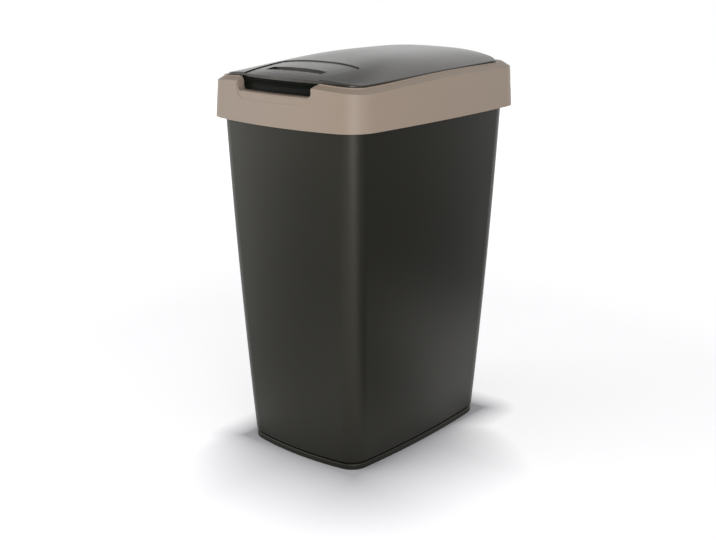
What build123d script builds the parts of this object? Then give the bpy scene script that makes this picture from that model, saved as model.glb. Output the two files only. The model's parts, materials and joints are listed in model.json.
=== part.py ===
from build123d import *
import math
import os

# Push top countertop bin, 12 litres.
# Millimetres, +Z up. The origin is the middle of the footprint on the worktop.
# The front, with the finger notch and the push bar, faces -Y; the hinge is at +Y.

# ---------------------------------------------------------------- heights
RIM_Z = 345.0               # top of the container's rim, which the collar stands on
LEDGE_Z = RIM_Z + 18.4      # ledge in the collar that the lid closes onto

# ---------------------------------------------------------------- collar
COLLAR_W = 193.7            # widest point of the skirt
COLLAR_D = 275.0            # depth of the skirt
COLLAR_BOTTOM_Z = RIM_Z - 15.0
COLLAR_WALL = 2.4
COLLAR_FLARE = 2.5          # the skirt leans in this much per side at the shoulder
COLLAR_R_FRONT = 30.2
COLLAR_R_REAR = 31.2
BOW_SIDE = 3.1              # how far each side's middle stands proud of its corners
BOW_FRONT = 6.9
BOW_REAR = 4.0
SHOULDER_W = 7.4            # sloping band between the skirt and the lid
SHOULDER_DROP = 4.6
SHOULDER_LIP = 1.3          # narrow level lip between the slope and the lid gap
REAR_DECK = 16.6            # level deck behind the lid, on top of the shoulder

# ---------------------------------------------------------------- lid
LID_GAP = 1.2               # gap all round between lid and collar
LID_WALL = 2.2
LID_EDGE_R = 1.0
LID_R_FRONT = 20.0
LID_R_REAR = 16.0
LID_BOW_REAR = 1.5
LEDGE_T = 2.2
LEDGE_W = 5.4
LID_SEAT_GAP = 0.3

# Height of the rim line over the ledge and rise of the crown above it, front to rear.
TOP_STATIONS = [
    # y as a share of the depth, rim height, lid crown, arch of the collar's front
    (-0.545, 5.2, 0.1, 2.9),
    (-0.458, 5.2, 4.6, 3.0),
    (-0.382, 4.6, 9.4, 1.2),
    (-0.291, 5.5, 11.3, 0.0),
    (-0.182, 7.1, 12.2, 0.0),
    (-0.036, 9.0, 12.9, 0.0),
    (0.145, 9.9, 12.6, 0.0),
    (0.291, 9.8, 12.1, 0.0),
    (0.400, 9.6, 10.4, 0.0),
    (0.545, 9.2, 7.6, 0.0),
]
FULLNESS = {2: 2.8, 3: 2.0}         # exponent of the crown and of the arch across the width
GRIP_STATION = TOP_STATIONS[2]      # the station nearest the grip's front edge
NOTCH_STATION = TOP_STATIONS[1]     # the station nearest the notch
SURFACE_MARGIN = 13.0               # the top surface runs this far past the skirt
SURFACE_STEPS = 8

# ---------------------------------------------------------------- press pad
PAD_WIDENING = 4.0          # the pad's legs start at the notch's ends and lean out
PAD_SIDE_BACK = 57.0        # from the lid's front edge
PAD_REAR_BACK = 63.0
PAD_CORNER_R = 6.0
PAD_DEPTH = 0.9
GRIP_HALF = 33.0            # finger grip pressed into the pad
GRIP_REAR_BACK = 32.0       # from the lid's front edge
GRIP_REAR_SAG = 3.0
GRIP_LENGTH = 14.0
GRIP_DEPTH = 2.6

# ---------------------------------------------------------------- notch
NOTCH_HALF = 45.0
NOTCH_FLOOR_Z = LEDGE_Z - 4.8
NOTCH_FLOOR_R = 3.5
NOTCH_SHOULDER_R = 6.0
NOTCH_HEADROOM = 15.0       # the cutter stands this far above the rim
NOTCH_ROUND = 1.6           # edge between the notch's floor and the front
PANEL_BELOW = 7.5           # soft panel under the notch
PANEL_BESIDE = 1.0
PANEL_STEP = 0.4

# ---------------------------------------------------------------- container
BASE_W = 148.3
BASE_D = 218.0
BASE_Z = 6.0
BASE_R_FRONT = 20.0
BASE_R_REAR = 24.0
BASE_BOW_SIDE = 3.5
BASE_BOW_FRONT = 4.5
BASE_BOW_REAR = 2.8
BASE_EDGE_R = 4.2
BODY_UNDER_SIDE = 8.9       # the collar stands this far out from the body's top
BODY_UNDER_END = 8.7
BODY_TOP_R_FRONT = 20.5
BODY_TOP_R_REAR = 26.1
BODY_BELLY_SHARE = 0.43     # of the height, where the wall is fullest
BODY_BELLY = 1.2            # fullness of the wall there
BODY_WALL = 2.4
BODY_FLOOR = 3.0
FOOT_INSET = 0.4
FOOT_RING_W = 8.0
FOOT_EDGE_R = 1.2
RIM_FLANGE_T = 2.4
RIM_SKIRT_H = 6.0
RIM_SKIRT_T = 1.8
RIM_TO_COLLAR = 0.7

# ---------------------------------------------------------------- collar, inside
THROAT_GAP = 1.2            # throat wall to the container's inner face
THROAT_WALL = 2.2
THROAT_BOTTOM_Z = RIM_Z - 9.0
RIB_T = 1.8
RIB_PITCH = 36.0
RIB_SEAT = 0.1

# ---------------------------------------------------------------- hinge
HINGE_BEHIND = 4.5          # axis behind the well
HINGE_Z = LEDGE_Z + 6.6
PIN_D = 4.0
PIN_FIT = 0.05
KNUCKLE_R = 4.2
KNUCKLE_W = 13.0
KNUCKLE_INSET = 45.6        # from the well's side to each knuckle's inner end
POCKET_CLEAR = 1.2
SPRING_ROOM = 8.0
SPRING_WIRE = 1.0
SPRING_FIT = 0.6            # coil to pin
SPRING_TURNS = 5.5
SPRING_PITCH = 1.15
SPRING_LEG_TOP = 7.6
SPRING_LEG_LOW = 4.5
PIN_HEAD = 0.4

# ---------------------------------------------------------------- catch
BAR_END_GAP = 0.5           # between the bar's ends and the notch's
BAR_SLIDE_GAP = 0.3
BAR_TOP_Z = LEDGE_Z + 6.0
BAR_AHEAD = 0.6             # from the well's front out to the bar when pushed fully in
BAR_SAG = 3.6
BAR_FLOOR = 1.6
BAR_DEPTH = 15.0
BAR_WALL = 2.0
BAR_FACE_HOLLOW = 1.1
BAR_STROKE = 3.0
TONGUE_W = 12.0
TONGUE_T = 1.8
TONGUE_DROP = 2.3           # underside of the tongues below the bar's top
HOOK_X = 20.0
HOOK_W = 10.0
HOOK_T = 1.8
HOOK_TOE = 3.0
HOOK_TOE_T = 1.8
HOOK_LIFT_GAP = 0.7
HOOK_FREE_GAP = 0.5
GUIDE_T = 2.4
GUIDE_SIDE_GAP = 0.4
GUIDE_SIDE_T = 2.6
GUIDE_SIDE_H = 6.6
GUIDE_EAR = 6.0
GUIDE_REAR_ROOM = 7.0
GUIDE_REAR_T = 2.4
RAIL_OUT = 1.2
RAIL_T = 1.6
RAIL_GAP = 0.25
COIL_X = 31.0
COIL_D = 6.0
COIL_WIRE = 0.7
COIL_TURNS = 4
COIL_SEAT_GAP = 0.1
PEG_GAP = 0.25
PEG_H = 2.0
SCREW_D = 3.0
SCREW_BACK = 8.4            # screws behind the well's front edge
SCREW_L = 11.0
SCREW_HEAD_D = 5.6
SCREW_HEAD_H = 1.8
SCREW_SOCKET_D = 2.2
BOSS_WALL = 1.9
SEAT_GAP = 0.2
BAY_SIDE_GAP = 0.5

# ---------------------------------------------------------------- lid liner
LINER_T = 1.8
LINER_GAP = 0.5
LINER_Z = LEDGE_Z + 2.6
LINER_BAY_BACK = 30.1       # from the lid's front edge
LINER_RIB_H = 3.0
LINER_SCREW_INSET = 28.6    # from the well's side
LINER_SCREW_BACK = 64.0     # front pair, from the lid's front edge
LINER_SCREW_AHEAD = 37.0    # rear pair, from the lid's rear edge
LINER_SCREW_L = 8.0
LID_BOSS_D = 7.0

# ---------------------------------------------------------------- derived
TOP_HALF_W = COLLAR_W / 2 - COLLAR_FLARE
SHOULDER_Z = LEDGE_Z + TOP_STATIONS[0][1] - SHOULDER_DROP
TOP_FRONT_Y = -COLLAR_D / 2 + COLLAR_FLARE
TOP_REAR_Y = COLLAR_D / 2 - COLLAR_FLARE
SHOULDER = SHOULDER_W + SHOULDER_LIP
WELL_HALF_W = TOP_HALF_W - SHOULDER
WELL_FRONT_Y = TOP_FRONT_Y + SHOULDER
WELL_REAR_Y = TOP_REAR_Y - SHOULDER - REAR_DECK + SHOULDER_LIP
LID_HALF_W = WELL_HALF_W - LID_GAP
LID_FRONT_Y = WELL_FRONT_Y + LID_GAP
LID_REAR_Y = WELL_REAR_Y - LID_GAP
LID_SKIRT_Z = LEDGE_Z + LID_SEAT_GAP
PAD_HALF_FRONT = NOTCH_HALF
PAD_HALF_REAR = PAD_HALF_FRONT + PAD_WIDENING
PAD_SIDE_Y = LID_FRONT_Y + PAD_SIDE_BACK
PAD_REAR_Y = LID_FRONT_Y + PAD_REAR_BACK
GRIP_REAR_Y = LID_FRONT_Y + GRIP_REAR_BACK
GRIP_FRONT_Y = GRIP_REAR_Y - GRIP_LENGTH
BODY_TOP_W = COLLAR_W - 2 * BODY_UNDER_SIDE
BODY_TOP_D = COLLAR_D - 2 * BODY_UNDER_END
BODY_BELLY_Z = RIM_Z * BODY_BELLY_SHARE
HINGE_Y = WELL_REAR_Y + HINGE_BEHIND
KNUCKLE_X = WELL_HALF_W - KNUCKLE_INSET
POCKET_R = KNUCKLE_R + POCKET_CLEAR
POCKET_X0 = KNUCKLE_X - POCKET_CLEAR
POCKET_X1 = KNUCKLE_X + KNUCKLE_W + SPRING_ROOM
POCKET_WALL = COLLAR_WALL
NOTCH_WEB_Z = NOTCH_FLOOR_Z - GUIDE_T
BAR_HALF = NOTCH_HALF - BAR_END_GAP
BAR_FACE_Y = WELL_FRONT_Y - BAR_AHEAD
BAR_BOTTOM_Z = NOTCH_FLOOR_Z + BAR_SLIDE_GAP
BAR_REAR_Y = BAR_FACE_Y + BAR_DEPTH
BAR_MID_Z = (BAR_TOP_Z + BAR_BOTTOM_Z) / 2
GUIDE_SIDE_X = BAR_HALF + GUIDE_SIDE_GAP
GUIDE_HALF = GUIDE_SIDE_X + GUIDE_SIDE_T + GUIDE_EAR
BAY_HALF = GUIDE_HALF + BAY_SIDE_GAP
GUIDE_REAR_Y = BAR_REAR_Y + GUIDE_REAR_ROOM
GUIDE_CHEEK_Y = WELL_FRONT_Y + BOW_FRONT - 1.0
RAIL_FRONT_Y = GUIDE_CHEEK_Y + RAIL_T
RAIL_Z = BAR_BOTTOM_Z + 1.4
TONGUE_Z = BAR_TOP_Z - TONGUE_DROP
TONGUE_TIP_Y = BAR_REAR_Y - BAR_WALL - HOOK_TOE
HOOK_TOE_Y = TONGUE_TIP_Y - HOOK_FREE_GAP
HOOK_LEG_Y = HOOK_TOE_Y - HOOK_TOE - HOOK_T
HOOK_TOE_Z = TONGUE_Z - HOOK_LIFT_GAP - HOOK_TOE_T
SCREW_X = GUIDE_HALF - GUIDE_EAR / 2
SCREW_Y = WELL_FRONT_Y + SCREW_BACK
LINER_BAY_Y = LID_FRONT_Y + LINER_BAY_BACK
LINER_SCREW_X = WELL_HALF_W - LINER_SCREW_INSET
LINER_SCREW_Y = (LID_FRONT_Y + LINER_SCREW_BACK, LID_REAR_Y - LINER_SCREW_AHEAD)


def touch_point(arc_centre, corner_centre, corner_r):
    """Where an arc meets, tangent, a smaller corner arc that lies inside it."""
    return corner_centre + (corner_centre - arc_centre).normalized() * corner_r


def end_arc_centre(corner_x, corner_r, y_end, bow, inward):
    """Centre of a front or rear arc that touches both of its corners."""
    radius = (corner_x ** 2 + (corner_r + bow) ** 2 - corner_r ** 2) / (2 * bow)
    return Vector(0, y_end + inward * radius)


def side_arc_centre(half_w, bow, front, front_r, rear, rear_r):
    """Centre of a side arc that touches its front and rear corners."""
    y = (2 * bow * (rear_r - front_r) + rear.Y ** 2 - front.Y ** 2) / (2 * (rear.Y - front.Y))
    radius = (bow ** 2 + 2 * front_r * bow + (front.Y - y) ** 2) / (2 * bow)
    return Vector(half_w - radius, y)


def bowed_outline(half_w, y_front, y_rear, r_front, r_rear, bow_side, bow_front, bow_rear):
    """Outline of four shallow arcs that run tangent into four round corners.

    A bow is how far the middle of a side stands proud of its corners.
    """
    front = Vector(half_w - bow_side - r_front, y_front + bow_front + r_front)
    rear = Vector(half_w - bow_side - r_rear, y_rear - bow_rear - r_rear)
    front_arc = end_arc_centre(front.X, r_front, y_front, bow_front, 1)
    rear_arc = end_arc_centre(rear.X, r_rear, y_rear, bow_rear, -1)
    side_arc = side_arc_centre(half_w, bow_side, front, r_front, rear, r_rear)
    points = [
        touch_point(front_arc, front, r_front), touch_point(side_arc, front, r_front),
        touch_point(side_arc, rear, r_rear), touch_point(rear_arc, rear, r_rear),
    ]
    front_mid = front + (points[0] + points[1] - front * 2).normalized() * r_front
    rear_mid = rear + (points[2] + points[3] - rear * 2).normalized() * r_rear
    right = [points[0], front_mid, points[1], Vector(half_w, side_arc.Y), points[2], rear_mid, points[3]]
    left = [Vector(-point.X, point.Y) for point in reversed(right)]
    loop = right + [Vector(0, y_rear)] + left + [Vector(0, y_front), right[0]]
    return make_face(Curve() + [ThreePointArc(*loop[k:k + 3]) for k in range(0, len(loop) - 1, 2)])


def lean(z):
    """How far the collar's skirt stands inside its lower edge at height z."""
    return COLLAR_FLARE * (z - COLLAR_BOTTOM_Z) / (SHOULDER_Z - COLLAR_BOTTOM_Z)


def collar_outline(inset):
    return bowed_outline(
        COLLAR_W / 2 - inset, -COLLAR_D / 2 + inset, COLLAR_D / 2 - inset,
        COLLAR_R_FRONT - inset, COLLAR_R_REAR - inset, BOW_SIDE, BOW_FRONT, BOW_REAR,
    )


def well_outline(inset):
    """Outline of the lid well; the lid, its liner and the ledge are insets of it."""
    return bowed_outline(
        WELL_HALF_W - inset, WELL_FRONT_Y + inset, WELL_REAR_Y - inset,
        LID_R_FRONT - inset / 2, LID_R_REAR - inset / 2, BOW_SIDE, BOW_FRONT, LID_BOW_REAR,
    )


def body_outline(z, inset):
    """Container section at height z: a straight taper made slightly full."""
    share = (z - BASE_Z) / (RIM_Z - BASE_Z)
    belly_share = (BODY_BELLY_Z - BASE_Z) / (RIM_Z - BASE_Z)
    full = BODY_BELLY * share * (1 - share) / (belly_share * (1 - belly_share))

    def mix(low, high):
        return low + (high - low) * share

    return bowed_outline(
        mix(BASE_W, BODY_TOP_W) / 2 + full - inset,
        -mix(BASE_D, BODY_TOP_D) / 2 - full + inset,
        mix(BASE_D, BODY_TOP_D) / 2 + full - inset,
        mix(BASE_R_FRONT, BODY_TOP_R_FRONT) - inset / 2,
        mix(BASE_R_REAR, BODY_TOP_R_REAR) - inset / 2,
        mix(BASE_BOW_SIDE, BOW_SIDE), mix(BASE_BOW_FRONT, BOW_FRONT), mix(BASE_BOW_REAR, BOW_REAR),
    )


def prism(face, z_low, z_high):
    return extrude(Pos(0, 0, z_low) * face, z_high - z_low)


def block(x_low, x_high, y_low, y_high, z_low, z_high):
    size = (x_high - x_low, y_high - y_low, z_high - z_low)
    middle = ((x_high + x_low) / 2, (y_high + y_low) / 2, (z_high + z_low) / 2)
    return Pos(*middle) * Box(*size)


def mirrored(side, shape):
    """The shape itself on the right, its mirror image on the left."""
    return shape if side > 0 else mirror(shape, Plane.YZ)


def above(column, drop):
    """Everything above the lid's crown (column 2) or the collar's rim (column 3)."""
    rows = []
    half_w = COLLAR_W / 2 + SURFACE_MARGIN
    for station in TOP_STATIONS:
        row = []
        for step in range(SURFACE_STEPS + 1):
            x = half_w * (2 * step / SURFACE_STEPS - 1)
            rise = station[column] * (1 - abs(x / WELL_HALF_W) ** FULLNESS[column])
            row.append(Vector(x, station[0] * COLLAR_D, LEDGE_Z + station[1] + rise - drop))
        rows.append(row)
    surface = Face.make_surface_from_array_of_points(rows, tol=0.005)
    return extrude(surface, 60, dir=(0, 0, 1))


def make_container():
    sections = [BASE_Z, BODY_BELLY_Z, RIM_Z]
    shell = loft([Pos(0, 0, z) * body_outline(z, 0) for z in sections])
    shell = fillet(shell.faces().sort_by(Axis.Z)[0].edges(), BASE_EDGE_R)
    floor_z = BASE_Z + BODY_FLOOR
    inner_sections = [floor_z, BODY_BELLY_Z, RIM_Z]
    cavity = loft([Pos(0, 0, z) * body_outline(z, BODY_WALL) for z in inner_sections])
    cavity = fillet(cavity.faces().sort_by(Axis.Z)[0].edges(), BASE_EDGE_R)

    foot = prism(body_outline(BASE_Z, FOOT_INSET), 0, BASE_Z)
    foot = fillet(foot.faces().sort_by(Axis.Z)[0].edges() + foot.faces().sort_by(Axis.Z)[-1].edges(), FOOT_EDGE_R)
    foot -= prism(body_outline(BASE_Z, FOOT_INSET + FOOT_RING_W), 0, BASE_Z)

    reach = COLLAR_WALL + lean(RIM_Z) + RIM_TO_COLLAR
    flange = prism(collar_outline(reach), RIM_Z - RIM_FLANGE_T - RIM_SKIRT_H, RIM_Z)
    hollow = prism(collar_outline(reach + RIM_SKIRT_T), 0, RIM_Z - RIM_FLANGE_T)
    return shell + foot + (flange - hollow) - cavity


def hinge_pocket():
    """Outside and inside of one moulded pocket in the collar's rear deck."""
    y_low = WELL_REAR_Y - LID_BOW_REAR - 3.0
    y_high = HINGE_Y + POCKET_R
    z_low = HINGE_Z - POCKET_R
    inside = block(POCKET_X0, POCKET_X1, y_low, y_high, z_low, HINGE_Z + 30)
    rest = block(
        KNUCKLE_X + KNUCKLE_W + POCKET_CLEAR / 2, POCKET_X1, y_low, HINGE_Y - 1.0,
        z_low, HINGE_Z - spring_mean_r() - SPRING_WIRE / 2 - SEAT_GAP,
    )
    outside = block(
        POCKET_X0 - POCKET_WALL, POCKET_X1 + POCKET_WALL,
        WELL_REAR_Y - LID_BOW_REAR, y_high + POCKET_WALL,
        LEDGE_Z - LEDGE_T, HINGE_Z + 30,
    )
    return outside, inside - rest


def make_collar():
    top = above(3, 0)
    high = LEDGE_Z + 25
    blank = loft([
        Pos(0, 0, COLLAR_BOTTOM_Z) * collar_outline(0),
        Pos(0, 0, high) * collar_outline(lean(high)),
    ])
    blank -= top
    rim_edges = blank.faces().sort_by(Axis.Z)[-1].outer_wire().edges()
    blank = chamfer(rim_edges, SHOULDER_W, SHOULDER_DROP, reference=blank.faces().sort_by(Axis.Z)[-1])

    channel = loft([
        Pos(0, 0, COLLAR_BOTTOM_Z) * collar_outline(COLLAR_WALL),
        Pos(0, 0, high) * collar_outline(COLLAR_WALL + lean(high)),
    ])
    lowered = Pos(0, 0, -COLLAR_WALL) * blank
    channel = channel & (lowered + prism(collar_outline(COLLAR_WALL), COLLAR_BOTTOM_Z, NOTCH_WEB_Z))

    throat_inset = BODY_WALL + THROAT_GAP
    throat_face = body_outline(RIM_Z, throat_inset)
    throat = prism(throat_face, THROAT_BOTTOM_Z, LEDGE_Z) - prism(
        body_outline(RIM_Z, throat_inset + THROAT_WALL), THROAT_BOTTOM_Z, high)
    throat_inner = body_outline(RIM_Z, throat_inset + THROAT_WALL)
    throat_void = prism(throat_inner, THROAT_BOTTOM_Z - 10, LEDGE_Z - LEDGE_T)
    mouth = prism(throat_inner & well_outline(LEDGE_W), LEDGE_Z - LEDGE_T, LEDGE_Z)
    well_wall = prism(well_outline(-COLLAR_WALL), LEDGE_Z - LEDGE_T, high) - top
    well_void = prism(well_outline(0), LEDGE_Z, high)
    shelf = prism(throat_face, LEDGE_Z - LEDGE_T, LEDGE_Z)

    collar = blank - channel + well_wall + throat + shelf
    collar += blank & notch_prism(COLLAR_WALL, COLLAR_WALL, NOTCH_SHOULDER_R - COLLAR_WALL)
    ribs = Part()
    count_x = int(COLLAR_W / 2 / RIB_PITCH)
    for index in range(-count_x, count_x + 1):
        ribs += Pos(index * RIB_PITCH, 0, (RIM_Z + high) / 2) * Box(RIB_T, COLLAR_D, high - RIM_Z)
    count_y = int(COLLAR_D / 2 / RIB_PITCH)
    for index in range(-count_y, count_y + 1):
        ribs += Pos(0, index * RIB_PITCH, (RIM_Z + high) / 2) * Box(COLLAR_W, RIB_T, high - RIM_Z)
    ribs = ribs & (Pos(0, 0, RIB_SEAT) * channel)
    collar += ribs

    bay_low = NOTCH_WEB_Z - LEDGE_T
    bay = block(-BAY_HALF - LEDGE_T, BAY_HALF + LEDGE_T, TOP_FRONT_Y, BAR_REAR_Y, bay_low, LEDGE_Z)
    bay = bay & prism(well_outline(-COLLAR_WALL), bay_low, LEDGE_Z)
    collar += bay
    pockets = []
    for side in (-1, 1):
        outside, inside = hinge_pocket()
        collar += mirrored(side, outside) - top
        pockets.append(mirrored(side, inside))
    for side in (-1, 1):
        boss = Pos(side * SCREW_X, SCREW_Y, 0) * prism(
            Circle(SCREW_D / 2 + BOSS_WALL).face(), NOTCH_WEB_Z - SCREW_L + 1.0, bay_low)
        collar += boss

    collar -= well_void
    collar -= throat_void
    collar -= mouth
    bay_void = block(-BAY_HALF, BAY_HALF, TOP_FRONT_Y, GUIDE_REAR_Y, NOTCH_WEB_Z, high)
    collar -= bay_void & prism(well_outline(0), NOTCH_WEB_Z, high)
    for pocket in pockets:
        collar -= pocket
    for side in (-1, 1):
        collar -= Pos(side * SCREW_X, SCREW_Y, 0) * prism(
            Circle(SCREW_D / 2 + PIN_FIT).face(), NOTCH_WEB_Z - SCREW_L - 1.0, NOTCH_WEB_Z)
    for side in (-1, 1):
        collar -= hinge_cylinder(side, PIN_D / 2 + PIN_FIT, PIN_FIT)
    skin = loft([
        Pos(0, 0, COLLAR_BOTTOM_Z) * collar_outline(PANEL_STEP),
        Pos(0, 0, high) * collar_outline(PANEL_STEP + lean(high)),
    ])
    panel = notch_prism(PANEL_BESIDE, PANEL_BELOW, 0) & prism(collar_outline(-1), COLLAR_BOTTOM_Z, SHOULDER_Z)
    collar -= panel - skin
    rolled = loft([
        Pos(0, 0, NOTCH_FLOOR_Z - drop) * collar_outline(PANEL_STEP + lean(NOTCH_FLOOR_Z) + NOTCH_ROUND - rise)
        for drop, rise in ((NOTCH_ROUND, NOTCH_ROUND), (NOTCH_ROUND * 0.3, NOTCH_ROUND * 0.7), (0, 0))
    ], ruled=True)
    collar -= (notch_prism(-PANEL_BESIDE, NOTCH_ROUND, 0) & prism(collar_outline(-1), COLLAR_BOTTOM_Z, NOTCH_FLOOR_Z)) - rolled
    collar -= notch_prism(0, 0, NOTCH_SHOULDER_R)
    return collar


def hinge_cylinder(side, radius, end_gap):
    """Round bar on the hinge axis through both walls of one pocket."""
    length = POCKET_X1 - POCKET_X0 + 2 * POCKET_WALL + 2 * end_gap
    middle = side * (POCKET_X0 + POCKET_X1) / 2
    return Pos(middle, HINGE_Y, HINGE_Z) * Rot(0, 90, 0) * Cylinder(radius, length)


def notch_prism(side_grow, grow, shoulder_r):
    """Finger notch in the collar's front, with flared shoulders and rounded lower corners."""
    rim = rim_height_at_notch() + NOTCH_HEADROOM
    low = NOTCH_FLOOR_Z - grow
    half = NOTCH_HALF + side_grow
    opening = Pos(0, (low + rim) / 2) * Rectangle(2 * half, rim - low)
    opening = fillet(opening.vertices().group_by(Axis.Y)[0], NOTCH_FLOOR_R + grow)
    if shoulder_r > 0:
        bend = rim_height_at_notch() - shoulder_r
        for side in (-1, 1):
            flare = Pos(side * (half + shoulder_r / 2), (bend + rim) / 2) * Rectangle(shoulder_r, rim - bend)
            flare -= Pos(side * (half + shoulder_r), bend) * Circle(shoulder_r)
            opening += flare
    face = Plane.XZ.offset(-WELL_FRONT_Y - BOW_FRONT) * opening
    return extrude(face, BOW_FRONT + SHOULDER + 2 * SHOULDER_LIP)


def rim_height_at_notch():
    return LEDGE_Z + NOTCH_STATION[1] + NOTCH_STATION[3] * (1 - (NOTCH_HALF / WELL_HALF_W) ** 2)


def pad_outline(grow):
    half_front = PAD_HALF_FRONT + grow
    half_rear = PAD_HALF_REAR + grow
    front_y = LID_FRONT_Y - 10
    side_y = PAD_SIDE_Y + grow
    edges = Curve() + [
        Line((-half_front, front_y), (half_front, front_y)),
        Line((half_front, front_y), (half_rear, side_y)),
        ThreePointArc((half_rear, side_y), (0, PAD_REAR_Y + grow), (-half_rear, side_y)),
        Line((-half_rear, side_y), (-half_front, front_y)),
    ]
    face = make_face(edges)
    return fillet(face.vertices().filter_by(lambda v: v.Y > front_y + 1), PAD_CORNER_R)


def grip_outline(grow):
    half = GRIP_HALF + grow
    rear = GRIP_REAR_Y + grow
    front = GRIP_FRONT_Y - grow
    edges = Curve() + [
        Line((-half, front), (half, front)),
        Line((half, front), (half, rear - GRIP_REAR_SAG)),
        ThreePointArc((half, rear - GRIP_REAR_SAG), (0, rear), (-half, rear - GRIP_REAR_SAG)),
        Line((-half, rear - GRIP_REAR_SAG), (-half, front)),
    ]
    return make_face(edges)


def grip_wedge(grow, extra):
    """Space over the grip: deep at its rear wall and running out at its front edge."""
    outline = prism(grip_outline(grow), LEDGE_Z - 10, LEDGE_Z + 40)
    length = GRIP_REAR_Y - GRIP_FRONT_Y
    tilt = math.degrees(math.atan2(GRIP_DEPTH, length))
    floor = above(2, PAD_DEPTH + extra)
    pivot_z = LEDGE_Z + GRIP_STATION[1] + GRIP_STATION[2] - PAD_DEPTH - extra
    floor = Pos(0, GRIP_FRONT_Y, pivot_z) * Rot(-tilt, 0, 0) * Pos(0, -GRIP_FRONT_Y, -pivot_z) * floor
    return outline & floor


def make_lid_shell():
    high = LEDGE_Z + 40
    top = above(2, 0)
    shell = prism(well_outline(LID_GAP), LID_SKIRT_Z, high) - top
    edge = shell.faces().sort_by(Axis.Z)[-1].outer_wire().edges()
    shell = fillet(edge, LID_EDGE_R)

    pad = prism(pad_outline(0), LEDGE_Z, high)
    shell -= pad & above(2, PAD_DEPTH)
    shell -= grip_wedge(0, 0)

    cavity = prism(well_outline(LID_GAP + LID_WALL), LEDGE_Z - 5, high) - above(2, LID_WALL)
    cavity -= prism(pad_outline(LID_WALL), LEDGE_Z - 5, high) & above(2, LID_WALL + PAD_DEPTH)
    cavity -= grip_wedge(LID_WALL, LID_WALL)
    shell -= cavity

    bay = block(-GUIDE_HALF, GUIDE_HALF, LID_FRONT_Y - 5, GUIDE_REAR_Y, LEDGE_Z - 5, BAR_TOP_Z + 0.5)
    shell -= bay

    for x in (-LINER_SCREW_X, LINER_SCREW_X):
        for y in LINER_SCREW_Y:
            boss = prism(Pos(x, y) * Circle(LID_BOSS_D / 2), LINER_Z + LINER_T, high) - above(2, LID_WALL / 2)
            hole = prism(Pos(x, y) * Circle(SCREW_D / 2 + PIN_FIT), LEDGE_Z, LINER_Z + LINER_SCREW_L)
            shell += boss
            shell -= hole

    for x in (-HOOK_X, HOOK_X):
        leg = block(x - HOOK_W / 2, x + HOOK_W / 2, HOOK_LEG_Y, HOOK_LEG_Y + HOOK_T, HOOK_TOE_Z, high)
        leg -= above(2, PAD_DEPTH + LID_WALL / 2)
        toe = block(x - HOOK_W / 2, x + HOOK_W / 2, HOOK_LEG_Y, HOOK_TOE_Y, HOOK_TOE_Z, HOOK_TOE_Z + HOOK_TOE_T)
        shell += leg + toe

    for side in (-1, 1):
        middle = side * (KNUCKLE_X + KNUCKLE_W / 2)
        knuckle = Pos(middle, HINGE_Y, HINGE_Z) * Rot(0, 90, 0) * Cylinder(KNUCKLE_R, KNUCKLE_W)
        web = block(
            middle - KNUCKLE_W / 2, middle + KNUCKLE_W / 2,
            LID_REAR_Y - LID_BOW_REAR - LID_WALL / 2, HINGE_Y,
            HINGE_Z - KNUCKLE_R, HINGE_Z + KNUCKLE_R,
        )
        shell += knuckle + web
        shell -= Pos(middle, HINGE_Y, HINGE_Z) * Rot(0, 90, 0) * Cylinder(PIN_D / 2 + PIN_FIT, KNUCKLE_W + 2)
        shell -= mirrored(side, block(
            KNUCKLE_X + KNUCKLE_W, POCKET_X1 + SEAT_GAP,
            LID_REAR_Y - LID_BOW_REAR - LID_WALL - 2, LID_REAR_Y + 2,
            LEDGE_Z - 5, HINGE_Z + spring_mean_r() + SPRING_WIRE / 2 + SEAT_GAP,
        ))
    return shell


def make_lid_liner():
    plate = prism(well_outline(LID_GAP + LID_WALL + LINER_GAP), LINER_Z, LINER_Z + LINER_T)
    plate -= block(-GUIDE_HALF - 1, GUIDE_HALF + 1, LID_FRONT_Y - 5, LINER_BAY_Y, LINER_Z - 5, LINER_Z + 5)
    ring = prism(well_outline(LID_GAP + LID_WALL + LINER_GAP + 8), LINER_Z - LINER_RIB_H + 1.4, LINER_Z)
    ring -= prism(well_outline(LID_GAP + LID_WALL + LINER_GAP + 10), LINER_Z - 5, LINER_Z)
    ring -= block(-GUIDE_HALF - 3, GUIDE_HALF + 3, LID_FRONT_Y - 5, LINER_BAY_Y + 2, LINER_Z - 5, LINER_Z + 5)
    plate += ring
    for x in (-LINER_SCREW_X, LINER_SCREW_X):
        for y in LINER_SCREW_Y:
            plate -= prism(Pos(x, y) * Circle(SCREW_D / 2 + PIN_FIT), LINER_Z - 5, LINER_Z + 5)
    return plate


def screw(length):
    """Pan head screw with its head's underside at z = 0, shank pointing down."""
    head = prism(Circle(SCREW_HEAD_D / 2), 0, SCREW_HEAD_H)
    head = fillet(head.faces().sort_by(Axis.Z)[-1].edges(), SCREW_HEAD_H / 3)
    shank = prism(Circle(SCREW_D / 2), -length, 0)
    shank = chamfer(shank.faces().sort_by(Axis.Z)[0].edges(), SCREW_D / 6)
    socket = prism(RegularPolygon(SCREW_SOCKET_D / 2, 6), SCREW_HEAD_H / 3, SCREW_HEAD_H)
    return head + shank - socket


def make_guide_screws():
    screws = Part()
    for side in (-1, 1):
        screws += Pos(side * SCREW_X, SCREW_Y, NOTCH_FLOOR_Z) * screw(SCREW_L)
    return screws


def make_liner_screws():
    screws = Part()
    for x in (-LINER_SCREW_X, LINER_SCREW_X):
        for y in LINER_SCREW_Y:
            screws += Pos(x, y, LINER_Z) * Rot(180, 0, 0) * screw(LINER_SCREW_L)
    return screws


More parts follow.
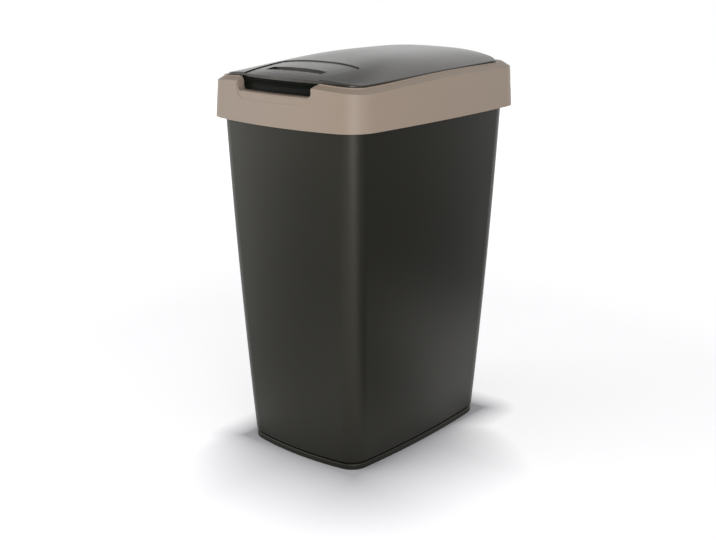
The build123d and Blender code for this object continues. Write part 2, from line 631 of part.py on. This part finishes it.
def make_push_bar():
    """Trough-shaped bar with a bowed, hollowed face and two catch tongues."""
    sagged = BAR_FACE_Y + BAR_SAG
    plan = make_face(Curve() + [
        ThreePointArc((-BAR_HALF, sagged), (0, BAR_FACE_Y), (BAR_HALF, sagged)),
        Line((BAR_HALF, sagged), (BAR_HALF, BAR_REAR_Y)),
        Line((BAR_HALF, BAR_REAR_Y), (-BAR_HALF, BAR_REAR_Y)),
        Line((-BAR_HALF, BAR_REAR_Y), (-BAR_HALF, sagged)),
    ])
    bar = prism(plan, BAR_BOTTOM_Z, BAR_TOP_Z)
    bar = fillet(bar.edges().filter_by(Axis.Y).group_by(Axis.Z)[0], NOTCH_FLOOR_R - BAR_END_GAP)
    face_r = (BAR_HALF ** 2 + BAR_SAG ** 2) / (2 * BAR_SAG)
    height = BAR_TOP_Z - BAR_BOTTOM_Z - 1.6
    hollow_r = (height ** 2 / 4 + BAR_FACE_HOLLOW ** 2) / (2 * BAR_FACE_HOLLOW)
    ring = Plane.YZ * Pos(BAR_FACE_Y - hollow_r + BAR_FACE_HOLLOW, BAR_MID_Z) * Circle(hollow_r)
    ring_axis = Axis((0, BAR_FACE_Y + face_r, 0), (0, 0, 1))
    bar -= revolve(ring, ring_axis, 360)
    trough_half = BAR_HALF - BAR_WALL
    trough_front = BAR_FACE_Y + BAR_FACE_HOLLOW + BAR_WALL
    trough_rear = BAR_REAR_Y - BAR_WALL
    trough = make_face(Curve() + [
        ThreePointArc((-trough_half, trough_front + BAR_SAG), (0, trough_front), (trough_half, trough_front + BAR_SAG)),
        Line((trough_half, trough_front + BAR_SAG), (trough_half, trough_rear)),
        Line((trough_half, trough_rear), (-trough_half, trough_rear)),
        Line((-trough_half, trough_rear), (-trough_half, trough_front + BAR_SAG)),
    ])
    bar -= prism(trough, BAR_BOTTOM_Z + BAR_FLOOR, BAR_TOP_Z + 1)
    for x in (-HOOK_X, HOOK_X):
        bar += block(
            x - TONGUE_W / 2, x + TONGUE_W / 2, TONGUE_TIP_Y, BAR_REAR_Y - BAR_WALL / 2,
            TONGUE_Z, TONGUE_Z + TONGUE_T,
        )
    for side in (-1, 1):
        x_low = min(side * (BAR_HALF - BAR_WALL), side * (BAR_HALF + RAIL_OUT))
        x_high = max(side * (BAR_HALF - BAR_WALL), side * (BAR_HALF + RAIL_OUT))
        bar += block(x_low, x_high, RAIL_FRONT_Y, BAR_REAR_Y, RAIL_Z, RAIL_Z + RAIL_T)
    for x in (-COIL_X, COIL_X):
        peg_r = COIL_D / 2 - COIL_WIRE - PEG_GAP
        peg = Pos(x, BAR_REAR_Y + PEG_H / 2, BAR_MID_Z) * Rot(90, 0, 0) * Cylinder(peg_r, PEG_H)
        bar += peg
    return bar


def make_catch_guide():
    """Bracket that carries the push bar, screwed into the bay behind the notch."""
    front_y = SCREW_Y - SCREW_HEAD_D / 2 + 0.4
    plate = block(-GUIDE_HALF, GUIDE_HALF, front_y - 8, GUIDE_REAR_Y + GUIDE_REAR_T, NOTCH_WEB_Z, NOTCH_FLOOR_Z)
    plate = plate & prism(well_outline(SEAT_GAP), NOTCH_WEB_Z, NOTCH_FLOOR_Z)
    side_top = NOTCH_FLOOR_Z + GUIDE_SIDE_H
    for side in (-1, 1):
        x_low = min(side * GUIDE_SIDE_X, side * (GUIDE_SIDE_X + GUIDE_SIDE_T))
        x_high = max(side * GUIDE_SIDE_X, side * (GUIDE_SIDE_X + GUIDE_SIDE_T))
        cheek = block(x_low, x_high, GUIDE_CHEEK_Y, GUIDE_REAR_Y + GUIDE_REAR_T, NOTCH_WEB_Z, side_top)
        plate += cheek
        groove_x = side * (BAR_HALF + RAIL_OUT + RAIL_GAP)
        x_low = min(side * GUIDE_SIDE_X, groove_x)
        x_high = max(side * GUIDE_SIDE_X, groove_x)
        plate -= block(x_low, x_high, BAR_FACE_Y - 6, GUIDE_REAR_Y, RAIL_Z - RAIL_GAP, RAIL_Z + RAIL_T + RAIL_GAP)
        gusset = block(x_low, x_high, GUIDE_REAR_Y - 3, GUIDE_REAR_Y, NOTCH_WEB_Z, NOTCH_FLOOR_Z)
        plate += gusset
    rear = block(-GUIDE_SIDE_X - 1, GUIDE_SIDE_X + 1, GUIDE_REAR_Y, GUIDE_REAR_Y + GUIDE_REAR_T, NOTCH_WEB_Z, side_top)
    plate += rear
    for x in (-COIL_X, COIL_X):
        peg_r = COIL_D / 2 - COIL_WIRE - PEG_GAP
        plate += Pos(x, GUIDE_REAR_Y - PEG_H / 2, BAR_MID_Z) * Rot(90, 0, 0) * Cylinder(peg_r, PEG_H)
    for side in (-1, 1):
        plate -= Pos(side * SCREW_X, SCREW_Y, 0) * prism(
            Circle(SCREW_D / 2 + PIN_FIT), NOTCH_WEB_Z - 1, NOTCH_FLOOR_Z + 1)
    return plate


def coil(mean_r, wire, pitch, height, lead_in, lead_out):
    """Round wire along a helix, with a straight leg off each end."""
    turns = Helix(pitch, height, mean_r)
    path = turns
    start = turns @ 0
    if lead_in > 0:
        start = turns @ 0 - (turns % 0) * lead_in
        end = turns @ 1 + (turns % 1) * lead_out
        path = Curve() + [Line(start, turns @ 0), turns, Line(turns @ 1, end)]
    profile = Plane(origin=start, z_dir=turns % 0) * Circle(wire / 2)
    return sweep(profile, path=path)


def make_bar_spring(side):
    free = GUIDE_REAR_Y - BAR_REAR_Y - 2 * COIL_SEAT_GAP - COIL_WIRE
    spring = coil(COIL_D / 2 - COIL_WIRE / 2, COIL_WIRE, free / COIL_TURNS, free, 0, 0)
    spring = Rot(-90, 0, 0) * spring
    start_y = BAR_REAR_Y + COIL_SEAT_GAP + COIL_WIRE / 2
    return Pos(side * COIL_X, start_y, BAR_MID_Z) * spring


def spring_mean_r():
    return PIN_D / 2 + SPRING_FIT + SPRING_WIRE / 2


def make_hinge_spring(side):
    """Torsion spring on the hinge pin: the top leg lifts the lid, the low one rests in the pocket."""
    height = SPRING_PITCH * SPRING_TURNS
    spring = coil(spring_mean_r(), SPRING_WIRE, SPRING_PITCH, height, SPRING_LEG_LOW, SPRING_LEG_TOP)
    spring = Rot(0, 90, 0) * spring
    start_x = KNUCKLE_X + KNUCKLE_W + SPRING_WIRE / 2 + 2 * SEAT_GAP
    return Pos(0, HINGE_Y, HINGE_Z) * mirrored(side, Pos(start_x, 0, 0) * spring)


def make_hinge_pin(side):
    pin = hinge_cylinder(side, PIN_D / 2, 0)
    return chamfer(pin.faces().filter_by(GeomType.PLANE).edges(), PIN_HEAD)


def build():
    nodes = {
        "container": make_container(),
        "collar": make_collar(),
        "lid_shell": make_lid_shell(),
        "lid_liner": make_lid_liner(),
        "liner_screws": make_liner_screws(),
        "push_bar": make_push_bar(),
        "catch_guide": make_catch_guide(),
        "guide_screws": make_guide_screws(),
    }
    for name, side in (("left", -1), ("right", 1)):
        nodes["hinge_pin_" + name] = make_hinge_pin(side)
        nodes["hinge_spring_" + name] = make_hinge_spring(side)
        nodes["bar_spring_" + name] = make_bar_spring(side)
    return nodes


os.makedirs("parts", exist_ok=True)
for node_name, shape in build().items():
    export_step(shape, "parts/" + node_name + ".step")
    print(node_name, len(shape.solids()), round(shape.volume / 1000, 2))
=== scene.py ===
import json
import math

import bmesh
import bpy
from mathutils import Matrix, Vector

# Push top countertop bin: dark container, taupe collar, near-black crowned lid.
# Metres, +Z up, front at -Y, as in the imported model. Azimuths are in degrees, from +X towards +Y.

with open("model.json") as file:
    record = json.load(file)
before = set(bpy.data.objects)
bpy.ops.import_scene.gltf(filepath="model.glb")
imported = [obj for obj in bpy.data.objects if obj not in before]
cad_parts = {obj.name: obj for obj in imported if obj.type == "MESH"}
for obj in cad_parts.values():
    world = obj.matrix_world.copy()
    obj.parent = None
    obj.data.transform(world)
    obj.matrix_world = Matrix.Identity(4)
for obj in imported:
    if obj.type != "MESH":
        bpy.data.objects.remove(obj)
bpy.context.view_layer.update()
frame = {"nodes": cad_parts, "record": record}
nodes = frame["nodes"]

# Colours, as linear values. A rubbed colour is what shows along a moulding's edges: partly wear, partly a
# painted highlight where the edge would catch the light.
BODY_BLACK = (0.0090, 0.0088, 0.0072, 1)
BODY_RUB_AND_HIGHLIGHT = (0.080, 0.078, 0.068, 1)
COLLAR_TAUPE = (0.384, 0.302, 0.236, 1)
COLLAR_RUB_AND_HIGHLIGHT = (0.47, 0.38, 0.32, 1)
LID_BLACK = (0.0150, 0.0138, 0.0120, 1)
LID_RUB_AND_HIGHLIGHT = (0.045, 0.044, 0.040, 1)
BAR_BLACK = (0.0075, 0.0085, 0.0062, 1)
BAR_RUB_AND_HIGHLIGHT = (0.02, 0.022, 0.02, 1)
LINER_GREY = (0.045, 0.044, 0.041, 1)
LINER_RUB_AND_HIGHLIGHT = (0.07, 0.07, 0.066, 1)
GUIDE_GREY = (0.030, 0.030, 0.030, 1)
GUIDE_RUB_AND_HIGHLIGHT = (0.05, 0.05, 0.05, 1)
DUST_GREY = (0.42, 0.40, 0.37, 1)
PIN_STEEL = (0.56, 0.56, 0.55, 1)
SPRING_STEEL = (0.40, 0.39, 0.37, 1)
SCREW_ZINC = (0.62, 0.62, 0.60, 1)

# Tints of the plastics' gloss: a warm haze on the container and the lid, none elsewhere.
CLEAR_GLOSS = (1, 1, 1, 1)
BODY_HAZE = (1.0, 0.975, 0.80, 1)
LID_HAZE = (1.0, 0.93, 0.84, 1)

PLASTIC_IOR = 1.49

# Patterns, in repeats per metre.
GRAIN_PITS = 2600.0
GRAIN_SWELLS = 240.0
GLOSS_CLOUDS = 9.0
GLOSS_SMEARS = 310.0
EDGE_BREAKS = 420.0
PIGMENT_CLOUDS = 26.0
PIGMENT_SPECKS = 1500.0
DUST_FIBRES = 700.0
STEEL_MOTTLING = 300.0

# Values between which most of a pattern lies, or the part of it that counts.
NOISE_SPAN = (0.3, 0.7)
EDGE_SPAN = (0.35, 0.65)
DUST_SPAN = (0.5, 0.75)

# Shares of one pattern in a sum of two, and how far pigment clouds are drawn out in height.
SWELL_SHARE = 0.35
GLOSS_CLOUD_SHARE = 0.75
PIGMENT_CLOUD_SHARE = 0.6
PIGMENT_HEIGHT_SCALE = 0.35

# Relief, in metres, and how strongly it turns the surface.
GRAIN_DEPTH, GRAIN_STRENGTH = 0.00003, 0.5
STEEL_DEPTH, STEEL_STRENGTH = 0.00002, 0.3

# Lightened edges, partly rub and partly painted highlight: radius that counts as an edge, and cosines between
# flat and fully lightened.
EDGE_RADIUS = 0.0009
EDGE_SAMPLES = 6
EDGE_NONE, EDGE_FULL = 0.995, 0.80

# Dust: cosines of a face's tilt from where it starts to lie to a level face.
DUST_STEEPEST, DUST_LEVEL = 0.75, 1.0

# What is left of an edge's rub and painted highlight, and of the dust, where they are thinnest.
EDGE_LEAST = 0.35
DUST_LEAST = 0.15

# Steel's darkest mottling, as a share of its colour.
STEEL_DARKEST = 0.8


# ------------------------------------------------------------- shader helpers
def feed(tree, value, socket):
    """Link another node's output to a socket, or set the socket to a plain value."""
    if isinstance(value, bpy.types.NodeSocket):
        tree.links.new(value, socket)
    else:
        socket.default_value = value


def object_place(tree):
    """The surface's place in the bin's own frame."""
    return tree.nodes.new("ShaderNodeTexCoord").outputs["Object"]


def axes(tree, vector):
    """A vector's X, Y and Z outputs."""
    node = tree.nodes.new("ShaderNodeSeparateXYZ")
    tree.links.new(vector, node.inputs[0])
    return node.outputs


def noise(tree, place, scale, detail=2.0, rough=0.5):
    """A soft random pattern, from 0 to 1."""
    node = tree.nodes.new("ShaderNodeTexNoise")
    for label, value in (("Vector", place), ("Scale", scale), ("Detail", detail), ("Roughness", rough)):
        feed(tree, value, node.inputs[label])
    return node.outputs["Fac"]


def maths(tree, operation, *values, clamp=False):
    node = tree.nodes.new("ShaderNodeMath")
    node.operation = operation
    node.use_clamp = clamp
    for value, socket in zip(values, node.inputs):
        feed(tree, value, socket)
    return node.outputs[0]


def product(tree, *values, clamp=False):
    return maths(tree, "MULTIPLY", *values, clamp=clamp)


def blend_of(tree, first, second, share):
    """The sum of two patterns, the first at its share and the second at the rest."""
    return maths(tree, "ADD", product(tree, first, share), product(tree, second, 1.0 - share))


def ramp(tree, value, low, high, at_low=0.0, at_high=1.0):
    """A value that goes from at_low to at_high as another goes from low to high."""
    node = tree.nodes.new("ShaderNodeMapRange")
    for label, number in (("Value", value), ("From Min", low), ("From Max", high),
                          ("To Min", at_low), ("To Max", at_high)):
        feed(tree, number, node.inputs[label])
    return node.outputs["Result"]


def mix_colours(tree, share, under, over):
    node = tree.nodes.new("ShaderNodeMix")
    node.data_type = "RGBA"
    for label, value in (("Factor", share), ("A", under), ("B", over)):
        feed(tree, value, node.inputs[label])
    return node.outputs["Result"]


# ------------------------------------------------------------- shared effects
def new_group(name, inputs, output):
    """An empty node group with named float inputs and one output: tree, inputs, output socket."""
    group = bpy.data.node_groups.new(name, "ShaderNodeTree")
    for label in inputs:
        group.interface.new_socket(name=label, in_out="INPUT", socket_type="NodeSocketFloat")
    group.interface.new_socket(name=output, in_out="OUTPUT", socket_type="NodeSocketFloat")
    given = group.nodes.new("NodeGroupInput")
    return group, given.outputs, group.nodes.new("NodeGroupOutput").inputs[output]


def make_grain_group():
    """Spark-eroded mould texture: fine pits with a coarser swell under them."""
    group, _, height = new_group("mould_grain", [], "Height")
    place = object_place(group)
    pits = noise(group, place, GRAIN_PITS, detail=3.0, rough=0.62)
    swell = product(group, noise(group, place, GRAIN_SWELLS), SWELL_SHARE)
    group.links.new(maths(group, "ADD", pits, swell), height)
    return group


def make_gloss_group():
    """Slow drift of gloss over a moulding, with fine handling smears."""
    group, given, roughness = new_group("gloss_drift", ["Low", "High"], "Roughness")
    place = object_place(group)
    clouds = noise(group, place, GLOSS_CLOUDS, detail=3.0)
    smears = noise(group, place, GLOSS_SMEARS)
    drift = blend_of(group, clouds, smears, GLOSS_CLOUD_SHARE)
    group.links.new(ramp(group, drift, *NOISE_SPAN, given["Low"], given["High"]), roughness)
    return group


def make_edge_rub_highlight_group():
    """Mask along rounded and sharp edges, for wear and a painted highlight, broken up so that it isn't an
    even line.
    """
    group, given, mask = new_group("edge_rub_and_painted_highlight", ["Amount"], "Mask")
    bevel = group.nodes.new("ShaderNodeBevel")
    bevel.samples = EDGE_SAMPLES
    bevel.inputs["Radius"].default_value = EDGE_RADIUS
    lean = group.nodes.new("ShaderNodeVectorMath")
    lean.operation = "DOT_PRODUCT"
    group.links.new(bevel.outputs["Normal"], lean.inputs[0])
    group.links.new(group.nodes.new("ShaderNodeNewGeometry").outputs["Normal"], lean.inputs[1])
    edge = ramp(group, lean.outputs["Value"], EDGE_NONE, EDGE_FULL)
    breaks = ramp(group, noise(group, object_place(group), EDGE_BREAKS, detail=3.0), *EDGE_SPAN, EDGE_LEAST)
    group.links.new(product(group, product(group, edge, breaks), given["Amount"], clamp=True), mask)
    return group


def make_pigment_group():
    """Very slight streaks and specks of pigment in a moulded plastic, as a factor near 1."""
    group, given, shade = new_group("pigment", ["Strength"], "Shade")
    place = object_place(group)
    stretch = group.nodes.new("ShaderNodeMapping")
    stretch.inputs["Scale"].default_value = (1.0, 1.0, PIGMENT_HEIGHT_SCALE)
    group.links.new(place, stretch.inputs["Vector"])
    clouds = noise(group, stretch.outputs["Vector"], PIGMENT_CLOUDS, detail=4.0, rough=0.6)
    specks = noise(group, place, PIGMENT_SPECKS, detail=1.0)
    both = blend_of(group, clouds, specks, PIGMENT_CLOUD_SHARE)
    swing = product(group, maths(group, "SUBTRACT", both, 0.5), given["Strength"])
    group.links.new(maths(group, "ADD", swing, 1.0), shade)
    return group


def make_dust_group():
    """Fine dust that settles on faces that look up."""
    group, given, mask = new_group("settled_dust", ["Amount"], "Mask")
    normal = group.nodes.new("ShaderNodeNewGeometry").outputs["Normal"]
    upward = ramp(group, axes(group, normal)["Z"], DUST_STEEPEST, DUST_LEVEL)
    fibres = noise(group, object_place(group), DUST_FIBRES, detail=5.0, rough=0.7)
    patches = ramp(group, fibres, *DUST_SPAN, DUST_LEAST)
    group.links.new(product(group, product(group, upward, patches), given["Amount"], clamp=True), mask)
    return group


grain_group = make_grain_group()
gloss_group = make_gloss_group()
edge_rub_highlight_group = make_edge_rub_highlight_group()
pigment_group = make_pigment_group()
dust_group = make_dust_group()


def use(tree, group, **values):
    """The output of a shared effect, with its inputs set."""
    node = tree.nodes.new("ShaderNodeGroup")
    node.node_tree = group
    for label, value in values.items():
        node.inputs[label].default_value = value
    return node.outputs[0]


# ------------------------------------------------------------- finishes
def new_finish(name):
    """A new material, its node tree and its shader."""
    material = bpy.data.materials.new(name)
    material.use_nodes = True
    return material, material.node_tree, material.node_tree.nodes["Principled BSDF"]


def add_relief(tree, shader, height, strength, depth):
    bump = tree.nodes.new("ShaderNodeBump")
    bump.inputs["Strength"].default_value = strength
    bump.inputs["Distance"].default_value = depth
    tree.links.new(height, bump.inputs["Height"])
    tree.links.new(bump.outputs["Normal"], shader.inputs["Normal"])


def moulded(name, colour, rub_and_highlight, gloss, pigment=0.06, dust=0.03, edge=0.4, specular=0.5, haze=CLEAR_GLOSS):
    """Moulded plastic: pigment, gloss drift, mould grain, edges lightened by rub and a painted highlight, and
    a little dust.
    """
    material, tree, shader = new_finish(name)
    shaded = tree.nodes.new("ShaderNodeVectorMath")
    shaded.operation = "SCALE"
    shaded.inputs[0].default_value = colour[:3]
    tree.links.new(use(tree, pigment_group, Strength=pigment), shaded.inputs["Scale"])
    # Edges lighter by rub and by a painted highlight.
    worn_and_highlit = mix_colours(tree, use(tree, edge_rub_highlight_group, Amount=edge), shaded.outputs["Vector"], rub_and_highlight)
    dusty = mix_colours(tree, use(tree, dust_group, Amount=dust), worn_and_highlit, DUST_GREY)
    tree.links.new(dusty, shader.inputs["Base Color"])
    tree.links.new(use(tree, gloss_group, Low=gloss[0], High=gloss[1]), shader.inputs["Roughness"])
    add_relief(tree, shader, use(tree, grain_group), GRAIN_STRENGTH, GRAIN_DEPTH)
    shader.inputs["IOR"].default_value = PLASTIC_IOR
    shader.inputs["Specular IOR Level"].default_value = specular
    shader.inputs["Specular Tint"].default_value = haze
    return material


def steel(name, colour, gloss):
    """Drawn or plated steel, mottled by handling and an oily film."""
    material, tree, shader = new_finish(name)
    shader.inputs["Metallic"].default_value = 1.0
    mottling = noise(tree, object_place(tree), STEEL_MOTTLING, detail=3.0)
    dark = [channel * STEEL_DARKEST for channel in colour[:3]] + [1]
    tree.links.new(mix_colours(tree, mottling, dark, colour), shader.inputs["Base Color"])
    tree.links.new(ramp(tree, mottling, *NOISE_SPAN, *gloss), shader.inputs["Roughness"])
    add_relief(tree, shader, mottling, STEEL_STRENGTH, STEEL_DEPTH)
    return material


finishes = {
    # The container's edges are lightened most: a painted highlight along its rounded lower edge and rim,
    # besides wear.
    "body_plastic": moulded("body_satin_black", BODY_BLACK, BODY_RUB_AND_HIGHLIGHT, gloss=(0.36, 0.42),
                            edge=0.6, specular=0.37, haze=BODY_HAZE),
    "collar_plastic": moulded("collar_taupe", COLLAR_TAUPE, COLLAR_RUB_AND_HIGHLIGHT, gloss=(0.40, 0.47),
                              pigment=0.03, dust=0.0, specular=0.42),
    "lid_plastic": moulded("lid_satin_black", LID_BLACK, LID_RUB_AND_HIGHLIGHT, gloss=(0.19, 0.24),
                           dust=0.02, haze=LID_HAZE),
    "bar_plastic": moulded("push_bar_black", BAR_BLACK, BAR_RUB_AND_HIGHLIGHT, gloss=(0.30, 0.36),
                           dust=0.01, specular=0.04),
    "liner_plastic": moulded("liner_dark_grey", LINER_GREY, LINER_RUB_AND_HIGHLIGHT, gloss=(0.45, 0.55)),
    "guide_plastic": moulded("guide_black", GUIDE_GREY, GUIDE_RUB_AND_HIGHLIGHT, gloss=(0.42, 0.5)),
    "pin_steel": steel("hinge_pin_steel", PIN_STEEL, gloss=(0.22, 0.34)),
    "spring_steel": steel("spring_wire_steel", SPRING_STEEL, gloss=(0.28, 0.40)),
    "screw_steel": steel("screw_zinc_plate", SCREW_ZINC, gloss=(0.26, 0.38)),
}

slots = {part["node"]: part["material_slot"] for part in frame["record"]["subparts"]}
for name, node in nodes.items():
    for slot in node.material_slots:
        slot.material = finishes[slots[name]]


# ------------------------------------------------------------- floor
FLOOR_RADIUS = 3.0
FLOOR_SIDES = 96
FLOOR_WHITE = (0.86, 0.857, 0.895, 1)
NO_LIGHT = (0.0, 0.0, 0.0, 1)

# The floor's own light, for the rays that show it, held down round the bin's foot as a painted shadow: none
# at the bin's foot,
# FLOOR_LIFT past the painted shadow, and 1, the backdrop's white, at the far end of FLOOR_FADE, which is a
# distance from the bin's middle.
FLOOR_LIFT = 0.64
FLOOR_FADE = (0.45, 1.6)
FOOT_HALF = (0.074, 0.109)

# The painted shadow's reach from the foot on the far side and on the side of SHADOW_AZ, the cosines
# between which it grows from one to the other, and how fast it fades.
SHADOW_REACH = (0.035, 0.13)
SHADOW_AZ = -45
SHADOW_TURN = (0.2, 0.7)
SHADOW_FADE = 0.7

# Dark sectors painted into the floor's reflections, in place of black flags, which the scene doesn't have:
# azimuth, cosines at which a sector starts and is whole, distances over which it sets in, and its depth.
PAINTED_DARK_SECTORS = (
    (40, (0.84, 0.95), (0.36, 0.52), 0.95),
    (6, (0.84, 0.95), (0.11, 0.20), 0.75),
    (-114, (0.90, 0.97), (0.36, 0.52), 0.6),
    (-126, (0.84, 0.95), (0.14, 0.26), 0.35),
)

# Keeps a direction from being worked out at the very middle of the floor.
LEAST_DISTANCE = 0.001


def seen_by_eye(tree):
    """1 for rays that show a surface: camera, mirror and glass rays."""
    path = tree.nodes.new("ShaderNodeLightPath").outputs
    seen = maths(tree, "MAXIMUM", path["Is Camera Ray"], path["Is Transmission Ray"])
    return maths(tree, "MAXIMUM", seen, path["Is Glossy Ray"])


def toward(tree, place, distance, azimuth):
    """Cosine between an azimuth and the direction of a place on the floor from the bin."""
    turn = math.radians(azimuth)
    along = maths(tree, "ADD", product(tree, place["X"], math.cos(turn)),
                  product(tree, place["Y"], math.sin(turn)))
    return maths(tree, "DIVIDE", along, distance)


def new_stage_piece(name, form, finish_name):
    """A floor or backdrop from a bmesh, with an empty material: object, tree, surface socket."""
    mesh = bpy.data.meshes.new(name)
    form.to_mesh(mesh)
    form.free()
    piece = bpy.data.objects.new(name, mesh)
    bpy.context.scene.collection.objects.link(piece)
    material, tree, shader = new_finish(finish_name)
    tree.nodes.remove(shader)
    mesh.materials.append(material)
    return piece, tree, tree.nodes["Material Output"].inputs["Surface"]


def painted_shadow_share(tree, place, distance):
    """0 at the bin's foot to 1 at the end of the shadow painted round it."""
    beyond = [maths(tree, "MAXIMUM", maths(tree, "SUBTRACT", maths(tree, "ABSOLUTE", place[axis]), half), 0.0)
              for axis, half in zip("XY", FOOT_HALF)]
    squares = [maths(tree, "POWER", side, 2.0) for side in beyond]
    away = maths(tree, "SQRT", maths(tree, "ADD", *squares))
    reach = ramp(tree, toward(tree, place, distance, SHADOW_AZ), *SHADOW_TURN, *SHADOW_REACH)
    return maths(tree, "POWER", maths(tree, "DIVIDE", away, reach, clamp=True), SHADOW_FADE)


def painted_dark_reflection_share(tree, place, length, distance):
    """How dark the painted reflection of the floor is, from 0 to the deepest sector; 0 for every other ray.
    """
    painted_dark = 0.0
    for azimuth, cosines, distances, depth in PAINTED_DARK_SECTORS:
        sector = ramp(tree, toward(tree, place, distance, azimuth), *cosines, 0.0, depth)
        painted_dark = maths(tree, "MAXIMUM", product(tree, sector, ramp(tree, length, *distances)), painted_dark)
    mirrored = tree.nodes.new("ShaderNodeLightPath").outputs["Is Glossy Ray"]
    return product(tree, painted_dark, mirrored)


def make_floor():
    """White tabletop that fades to the white backdrop; the bin's shadow stays on it, with a painted shadow
    round its foot and painted dark sectors in the floor's reflections.
    """
    form = bmesh.new()
    bmesh.ops.create_circle(form, cap_ends=True, segments=FLOOR_SIDES, radius=FLOOR_RADIUS)
    floor, tree, surface = new_stage_piece("tabletop", form, "tabletop_white")
    spot = object_place(tree)
    measure = tree.nodes.new("ShaderNodeVectorMath")
    measure.operation = "LENGTH"
    tree.links.new(spot, measure.inputs[0])
    length = measure.outputs["Value"]
    distance = maths(tree, "MAXIMUM", length, LEAST_DISTANCE)
    place = axes(tree, spot)
    # Painted shadow: the floor's own light is held down round the bin's foot.
    near = product(tree, painted_shadow_share(tree, place, distance), FLOOR_LIFT)
    far = ramp(tree, length, *FLOOR_FADE, 0.0, 1.0 - FLOOR_LIFT)
    # Painted dark reflections: mirror rays see the floor darkened towards black in some sectors.
    painted_dark = painted_dark_reflection_share(tree, place, length, distance)
    matt = tree.nodes.new("ShaderNodeBsdfDiffuse")
    tree.links.new(mix_colours(tree, painted_dark, FLOOR_WHITE, NO_LIGHT), matt.inputs["Color"])
    level = product(tree, maths(tree, "ADD", near, far), maths(tree, "SUBTRACT", 1.0, painted_dark))
    lift = tree.nodes.new("ShaderNodeEmission")
    tree.links.new(product(tree, seen_by_eye(tree), level), lift.inputs["Strength"])
    both = tree.nodes.new("ShaderNodeAddShader")
    tree.links.new(matt.outputs[0], both.inputs[0])
    tree.links.new(lift.outputs[0], both.inputs[1])
    tree.links.new(both.outputs[0], surface)


make_floor()


# ------------------------------------------------------------- light
WORLD_WHITE = (1, 1, 1, 1)
WORLD_FILL = 0.34

# The greyer upper part of the backdrop: azimuth, lowest and highest angle over the floor, distance and
# width, the heights between which white turns to grey, and the grey.
UPPER_AZ = 155
UPPER_LOW, UPPER_HIGH = 27, 67
UPPER_DISTANCE = 2.2
UPPER_WIDTH = 2.0
UPPER_FADE = (1.05, 1.45)
UPPER_GREY = 0.36

LAMP_DISTANCE = 1.7
LAMP_AIM = Vector((0, 0, 0.2))

# Name, azimuth, height, width and height of its face, watts.
SOFTBOXES = (
    ("left", -140, 0.6, (1.0, 1.0), 3.4),
    ("front", -120, 0.6, (1.0, 1.0), 5.0),
    ("front_right", -40, 0.34, (0.7, 0.62), 9),
    ("right", -8, 0.6, (1.0, 1.0), 3),
)


def make_world():
    """Dim even fill; the backdrop itself is white."""
    world = bpy.data.worlds.new("studio")
    bpy.context.scene.world = world
    world.use_nodes = True
    tree = world.node_tree
    background = tree.nodes["Background"]
    background.inputs["Color"].default_value = WORLD_WHITE
    tree.links.new(ramp(tree, seen_by_eye(tree), 0.0, 1.0, WORLD_FILL, 1.0), background.inputs["Strength"])


def set_at(place, facing):
    """The turn and place that put a flat thing at a place, with its +Z along facing."""
    return Matrix.Translation(place) @ facing.to_track_quat("Z", "Y").to_matrix().to_4x4()


def make_upper_backdrop():
    """Upper part of the backdrop, greyer than the rest; only the lid's slopes mirror it."""
    low, high, azimuth = math.radians(UPPER_LOW), math.radians(UPPER_HIGH), math.radians(UPPER_AZ)
    middle = (low + high) / 2
    height = 2 * UPPER_DISTANCE * math.tan((high - low) / 2)
    outward = Vector((math.cos(azimuth) * math.cos(middle), math.sin(azimuth) * math.cos(middle),
                      math.sin(middle)))
    form = bmesh.new()
    bmesh.ops.create_grid(form, x_segments=1, y_segments=1, size=0.5)
    bmesh.ops.scale(form, vec=(UPPER_WIDTH, height, 1), verts=form.verts)
    bmesh.ops.transform(form, matrix=set_at(outward * UPPER_DISTANCE, -outward), verts=form.verts)
    card, tree, surface = new_stage_piece("upper_backdrop", form, "backdrop_grey")
    grey = tree.nodes.new("ShaderNodeEmission")
    fade = ramp(tree, axes(tree, object_place(tree))["Z"], *UPPER_FADE, 1.0, UPPER_GREY)
    tree.links.new(product(tree, seen_by_eye(tree), fade), grey.inputs["Strength"])
    tree.links.new(grey.outputs[0], surface)


def make_softbox(name, azimuth, height, size, power):
    """Rectangular soft light on a circle round the bin, aimed at its lower half."""
    lamp = bpy.data.lights.new(name, "AREA")
    lamp.shape = "RECTANGLE"
    lamp.size, lamp.size_y = size
    lamp.energy = power
    turn = math.radians(azimuth)
    place = Vector((LAMP_DISTANCE * math.cos(turn), LAMP_DISTANCE * math.sin(turn), height))
    box = bpy.data.objects.new(name, lamp)
    box.matrix_world = set_at(place, place - LAMP_AIM)
    bpy.context.scene.collection.objects.link(box)


make_world()
make_upper_backdrop()
for softbox in SOFTBOXES:
    make_softbox(*softbox)


# ------------------------------------------------------------- camera
LENS, SENSOR_WIDTH = 57.33, 36
CLIP_END = 50
CAMERA_PLACE = Vector((0.71071, -0.85751, 0.49394))
CAMERA_RIGHT = Vector((0.7645, 0.6446, 0)).normalized()
CAMERA_BACK = Vector((0.6185, -0.7333, 0.2823)).normalized()


def make_camera():
    """Camera at the front right, looking a little down."""
    lens = bpy.data.cameras.new("view")
    lens.sensor_fit = "HORIZONTAL"
    lens.sensor_width = SENSOR_WIDTH
    lens.lens = LENS
    lens.clip_end = CLIP_END
    camera = bpy.data.objects.new("view", lens)
    up = CAMERA_BACK.cross(CAMERA_RIGHT).normalized()
    turn = Matrix((up.cross(CAMERA_BACK), up, CAMERA_BACK)).transposed()
    camera.matrix_world = Matrix.Translation(CAMERA_PLACE) @ turn.to_4x4()
    bpy.context.scene.collection.objects.link(camera)
    bpy.context.scene.camera = camera


make_camera()
bpy.context.scene.view_settings.view_transform = "Standard"
